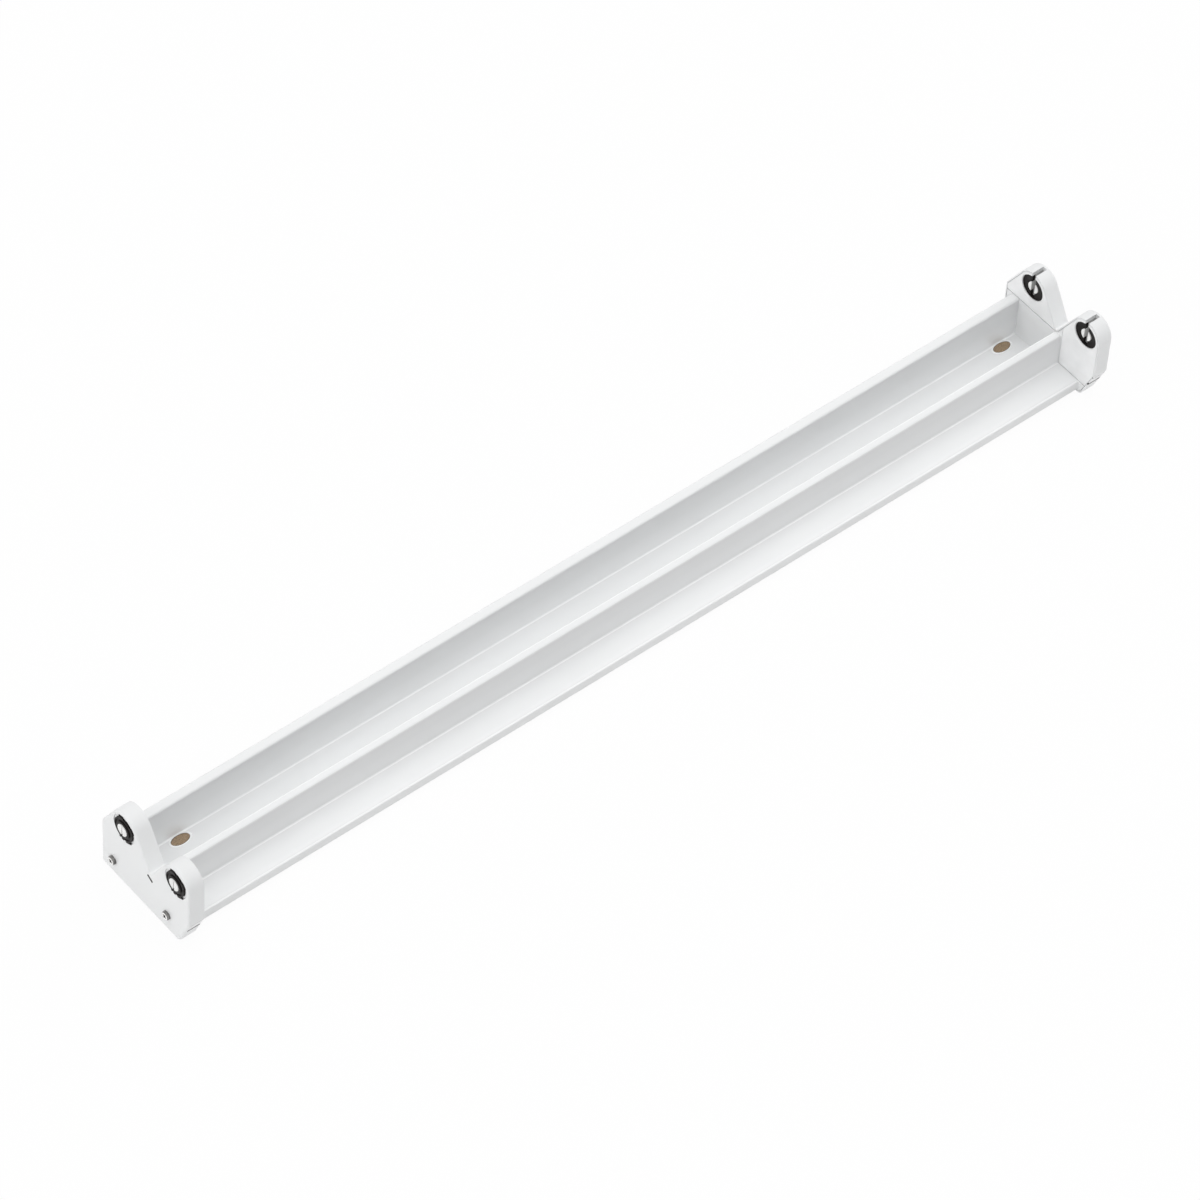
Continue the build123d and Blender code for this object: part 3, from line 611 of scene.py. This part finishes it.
def make_rotors():
    """Rotors: rings with a pin slot that is open at the top, black at the face, with painted shade in grey
    behind it.
    """
    low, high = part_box("far_left_rotor")
    radius = (high.y - low.y) / 2
    rotor = rod("rotor", radius, low.x, high.x)
    pick_faces(rotor, lambda c, n: n.x < -FACING)
    bpy.ops.mesh.inset(thickness=ROTOR_LIP)
    push(x=ROTOR_DISH)
    bpy.ops.object.mode_set(mode="OBJECT")
    cut(rotor, rod("rotor_bore", CORE_R + CORE_CLEAR, low.x - OVERRUN, high.x + OVERRUN))
    slot_depth = PIN_SLOT_END - low.x + OVERRUN
    slot_place = (PIN_SLOT_END - slot_depth / 2, 0, radius - PIN_REACH / 2)
    cut(rotor, bar("pin_slot", (slot_depth, PIN_SLOT, PIN_REACH + 2 * radius), slot_place))
    alone(rotor)
    bpy.ops.object.mode_set(mode="EDIT")
    bpy.ops.mesh.select_all(action="SELECT")
    behind = low.x + ROTOR_FACE
    bpy.ops.mesh.bisect(plane_co=(behind, 0, 0), plane_no=(1, 0, 0))
    bpy.ops.object.mode_set(mode="OBJECT")
    soften(rotor, ROTOR_EDGE)
    rotor.data.materials.append(FINISHES["rotor_plastic"])
    rotor.data.materials.append(slot_painted_shade)
    # Painted shade: the rotor behind its face goes grey, seen down the slot
    pick_faces(rotor, lambda c, n: c.x > behind)
    paint(rotor, 1)
    bpy.ops.object.mode_set(mode="OBJECT")
    each_lampholder(rotor, "rotor", "rotor_plastic", turns=True)


def make_cores():
    """Pale cores: a pin slot in front with painted shade in grey on its walls, and a slit in the back end."""
    low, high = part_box("far_left_rotor_core")
    core = rod("core", CORE_R, low.x, high.x, vertices=CORE_POINTS)
    slot_depth = PIN_SLOT_END - low.x + OVERRUN
    across = 3 * CORE_R
    cut(core, bar("core_slot", (slot_depth, PIN_SLOT, across), (PIN_SLOT_END - slot_depth / 2, 0, 0)))
    cut(core, bar("core_slit", (2 * CORE_SLIT_DEPTH, CORE_SLIT, across), (high.x, 0, 0)))
    soften(core, CORE_EDGE, segments=3)
    core.data.materials.append(FINISHES["core_plastic"])
    core.data.materials.append(slot_painted_shade)
    slot_edge = PIN_SLOT / 2 + SLOT_BAND
    ends = (low.x + SLOT_BAND, PIN_SLOT_END + SLOT_BAND)
    # Painted shade on the pin slot's walls
    pick_faces(core, lambda c, n: (
        abs(c.y) < slot_edge and ends[0] < c.x < ends[1] and abs(n.z) < SLOT_WALL))
    paint(core, 1)
    bpy.ops.object.mode_set(mode="OBJECT")
    each_lampholder(core, "rotor_core", "core_plastic", turns=True)


def make_screw(back_x, front_x):
    """One far-end pan head screw on the X axis, with a cross recess in painted shade and a painted glint on
    the head's top.
    """
    head = rod("head", SCREW_HEAD_R, END_X, front_x, vertices=HEAD_POINTS)
    pick_faces(head, lambda c, n: n.x > FACING)
    bpy.ops.mesh.bevel(
        offset=HEAD_DOME, segments=HEAD_DOME_STEPS, profile=HEAD_DOME_PROFILE, affect="EDGES")
    bpy.ops.object.mode_set(mode="OBJECT")
    pick_faces(head, lambda c, n: n.x < -FACING)
    bpy.ops.mesh.inset(thickness=SCREW_HEAD_R - SCREW_R)
    push(x=back_x - END_X)
    bpy.ops.object.mode_set(mode="OBJECT")
    for wide, high in ((CROSS_LENGTH, CROSS_WIDTH), (CROSS_WIDTH, CROSS_LENGTH)):
        wing = bar("wing", (2 * CROSS_DEPTH, wide, high), (front_x, 0, 0))
        pick_faces(wing, lambda c, n: n.x < -FACING)
        bpy.ops.transform.resize(value=(1, CROSS_TAPER, CROSS_TAPER))
        bpy.ops.object.mode_set(mode="OBJECT")
        cut(head, wing)
    soften(head, HEAD_EDGE, angle=HEAD_SMOOTH_ANGLE)
    for finish in (FINISHES["screw_steel"], recess_painted_shade, painted_glint_steel):
        head.data.materials.append(finish)
    recess_x = front_x - CROSS_FLOOR
    # Painted shade in the cross recess
    pick_faces(head, lambda c, n: END_X < c.x < recess_x and c.yz.length < CROSS_LENGTH / 2)
    paint(head, 1)
    bpy.ops.object.mode_set(mode="OBJECT")
    # Painted glint on the head's top face
    pick_faces(head, lambda c, n: n.x > HEAD_FRONT and c.x > recess_x)
    paint(head, 2)
    bpy.ops.object.mode_set(mode="OBJECT")
    head.data.transform(Matrix.Rotation(radians(CROSS_TURN), 4, "X"))
    return head


def make_cap_screws():
    """The cap screws, two at each end."""
    low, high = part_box("far_cap_screws")
    master = make_screw(low.x, high.x)
    for end in ("near", "far"):
        both = []
        for y, z in SCREW_PLACES:
            screw = copy_of(master, "screw")
            screw.data.transform(Matrix.Translation((0, y, z)))
            if end == "near":
                to_near_end(screw)
            both.append(screw)
        alone(both[0])
        both[1].select_set(True)
        bpy.ops.object.join()
        screws = both[0]
        screws.name = f"{end}_pan_screws"
        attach(screws, "fixture")
        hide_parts(f"{end}_cap_screws")
    bpy.data.objects.remove(master)


def make_collars():
    """Raised white edges round the rotors on the lampholders' faces, open at the pin slit."""
    low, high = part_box("far_left_holder")
    clear()
    bpy.ops.mesh.primitive_torus_add(
        major_segments=ROUND_POINTS, minor_segments=TRIM_SIDES, major_radius=COLLAR_R,
        minor_radius=COLLAR_EDGE, location=(low.x, 0, 0), rotation=(0, pi / 2, 0))
    collar = bpy.context.object
    bpy.ops.object.transform_apply(location=True, rotation=True, scale=True)
    slit_depth = 2 * (COLLAR_EDGE + OVERRUN)
    cut(collar, bar("slit", (slit_depth, ENTRY_SLIT, 2 * COLLAR_R), (low.x, 0, COLLAR_R)))
    alone(collar)
    bpy.ops.object.shade_smooth_by_angle(angle=radians(TRIM_SMOOTH_ANGLE))
    for end in ("near", "far"):
        for side in ("left", "right"):
            at_lampholder(collar, "collar", end, side, "fixture", "holder_plastic", None)
    bpy.data.objects.remove(collar)


def make_entry_edge(floor_z):
    """The raised edge round an oval entry, white as a painted highlight, seated in the floor at X 0, Y 0."""
    clear()
    bpy.ops.mesh.primitive_torus_add(
        major_segments=ROUND_POINTS, minor_segments=TRIM_SIDES, major_radius=ENTRY_B + ROLL_R,
        minor_radius=ROLL_R, location=(0, 0, floor_z))
    edge = bpy.context.object
    edge.scale = ((ENTRY_A + ROLL_R) / (ENTRY_B + ROLL_R), 1, ROLL_HEIGHT / ROLL_R)
    bpy.ops.object.transform_apply(location=True, rotation=True, scale=True)
    seat_place = (0, 0, floor_z - ROLL_SEAT - ROLL_HEIGHT)
    cut(edge, bar("seat", (4 * ENTRY_A, 4 * ENTRY_B, 2 * ROLL_HEIGHT), seat_place))
    alone(edge)
    bpy.ops.object.shade_smooth_by_angle(angle=radians(TRIM_SMOOTH_ANGLE))
    edge.data.materials.append(entry_edge_painted_highlight)
    return edge


def make_plug(foot_z, top_z):
    """The plug of an oval entry at X 0, Y 0: a lip under the floor, a border of painted shade and a low
    crown.
    """
    clear()
    bpy.ops.mesh.primitive_cylinder_add(
        vertices=ROUND_POINTS, radius=1, depth=PLUG_LIP_THICK,
        location=(0, 0, foot_z + PLUG_LIP_THICK / 2),
        scale=(ENTRY_A + PLUG_LIP, ENTRY_B + PLUG_LIP, 1))
    plug = bpy.context.object
    bpy.ops.object.transform_apply(location=True, rotation=True, scale=True)
    plug.data.materials.append(FINISHES["plug_rubber"])
    plug.data.materials.append(plug_painted_shade)
    pick_faces(plug, lambda c, n: n.z > FACING)
    bpy.ops.mesh.inset(thickness=PLUG_LIP + ENTRY_CLEAR)
    push(z=top_z - foot_z - PLUG_LIP_THICK)
    # Painted shade on the plug's sides and border
    paint(plug, 1)
    bpy.ops.mesh.inset(thickness=PLUG_BORDER)
    paint(plug, 0)
    push(z=PLUG_CROWN)
    bpy.ops.object.mode_set(mode="OBJECT")
    bpy.ops.object.shade_smooth_by_angle(angle=radians(SMOOTH_ANGLE))
    return plug


def make_entries():
    """The two oval entries' edges and plugs."""
    low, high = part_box("near_entry_plug")
    edge_master = make_entry_edge(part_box("tray")[0].z + TRAY_SHEET)
    plug_master = make_plug(low.z, high.z)
    for end in ("near", "far"):
        low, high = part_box(f"{end}_entry_plug")
        place = Matrix.Translation(((low.x + high.x) / 2, (low.y + high.y) / 2, 0))
        edge = copy_of(edge_master, f"{end}_entry_edge")
        edge.data.transform(place)
        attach(edge, "fixture")
        plug = copy_of(plug_master, f"{end}_plug_moulded")
        plug.data.transform(place)
        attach(plug, "fixture")
        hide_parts(f"{end}_entry_plug")
    bpy.data.objects.remove(edge_master)
    bpy.data.objects.remove(plug_master)


def steep(tree, value, gain):
    """A direction's share that falls off steeply from an axis."""
    return math(tree, "MULTIPLY", math(tree, "POWER", math(tree, "ABSOLUTE", value), 4.0), gain)


def camera_white(tree, surface, share=1.0):
    """White to the camera, to reflections and through glass; lit as it is otherwise."""
    path = tree.nodes.new("ShaderNodeLightPath")
    seen = path.outputs["Is Camera Ray"]
    for name in ("Is Glossy Ray", "Is Transmission Ray"):
        seen = math(tree, "MAXIMUM", seen, path.outputs[name])
    if share < 1:
        seen = math(tree, "MULTIPLY", seen, share)
    mix = tree.nodes.new("ShaderNodeMixShader")
    in_sky = surface.node.type == "BACKGROUND"
    white = tree.nodes.new("ShaderNodeBackground" if in_sky else "ShaderNodeEmission")
    white.inputs["Color"].default_value = (1, 1, 1, 1)
    white.inputs["Strength"].default_value = 1.0
    tree.links.new(seen, mix.inputs["Fac"])
    tree.links.new(surface, mix.inputs[1])
    tree.links.new(white.outputs[0], mix.inputs[2])
    return mix.outputs["Shader"]


def make_studio():
    """White floor with a faint shadow, and a dome of light, brightest overhead and at both ends."""
    clear()
    bpy.ops.mesh.primitive_plane_add(size=FLOOR_SIZE, location=(0, 0, 0))
    floor = bpy.context.object
    floor.name = "floor"
    paper = bpy.data.materials.new("floor_paper")
    paper.use_nodes = True
    tree = paper.node_tree
    shader = tree.nodes["Principled BSDF"]
    shader.inputs["Base Color"].default_value = (*PAPER, 1)
    shader.inputs["Roughness"].default_value = 0.9
    output = tree.nodes["Material Output"]
    surface = camera_white(tree, shader.outputs["BSDF"], share=1 - SHADOW_SHARE)
    tree.links.new(surface, output.inputs["Surface"])
    floor.data.materials.append(paper)

    world = bpy.data.worlds.new("studio")
    bpy.context.scene.world = world
    world.use_nodes = True
    tree = world.node_tree
    sky = tree.nodes["Background"]
    sky.inputs["Color"].default_value = (1.0, 1.0, 1.0, 1)
    around = tree.nodes.new("ShaderNodeTexCoord")
    parts = tree.nodes.new("ShaderNodeSeparateXYZ")
    tree.links.new(around.outputs["Generated"], parts.inputs["Vector"])
    overhead = steep(tree, parts.outputs["Z"], OVERHEAD_LIGHT)
    ends = steep(tree, parts.outputs["X"], ENDS_LIGHT)
    both = math(tree, "ADD", overhead, ends)
    tree.links.new(math(tree, "ADD", both, ROUND_LIGHT), sky.inputs["Strength"])
    output = tree.nodes["World Output"]
    tree.links.new(camera_white(tree, sky.outputs["Background"]), output.inputs["Surface"])


def make_camera():
    """The photograph's viewpoint."""
    data = bpy.data.cameras.new("camera")
    data.sensor_width = SENSOR
    data.lens = CAMERA_LENS
    data.clip_start, data.clip_end = 0.1, 100.0
    camera = bpy.data.objects.new("camera", data)
    bpy.context.scene.collection.objects.link(camera)
    right, ahead = Vector(CAMERA_RIGHT).normalized(), Vector(CAMERA_AHEAD).normalized()
    turn = Matrix((right, right.cross(ahead), -ahead)).transposed()
    camera.matrix_world = Matrix.Translation(CAMERA_PLACE) @ turn.to_4x4()
    bpy.context.scene.camera = camera


bpy.context.scene.view_settings.view_transform = "Standard"
dress_nodes()
make_back_covers()
make_back_rings()
make_rotors()
make_cores()
make_cap_screws()
make_collars()
make_entries()
make_studio()
make_camera()
